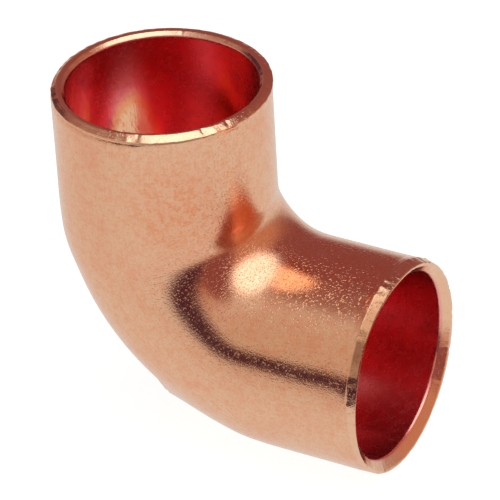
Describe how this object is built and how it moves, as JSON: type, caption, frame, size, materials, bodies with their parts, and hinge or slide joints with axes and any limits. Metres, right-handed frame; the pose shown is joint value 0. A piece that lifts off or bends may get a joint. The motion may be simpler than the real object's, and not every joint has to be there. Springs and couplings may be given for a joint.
{
  "type": "pipe elbow",
  "caption": "Close-rough 90 degree copper solder elbow for half inch water tube: a bent body with a plain socket cup at each end.",
  "frame": {"origin": "centre of the upper socket's mouth; the two socket axes cross 22.1 mm straight below it", "axes": "+Z out of the upper socket's mouth, +X out of the side socket's mouth, and the bend lies in the XZ plane"},
  "size_m": [0.0306, 0.0182, 0.0312],
  "materials": {
    "copper": null
  },
  "bodies": {
    "root": {"elbow_body": "copper"}
  },
  "joints": []
}
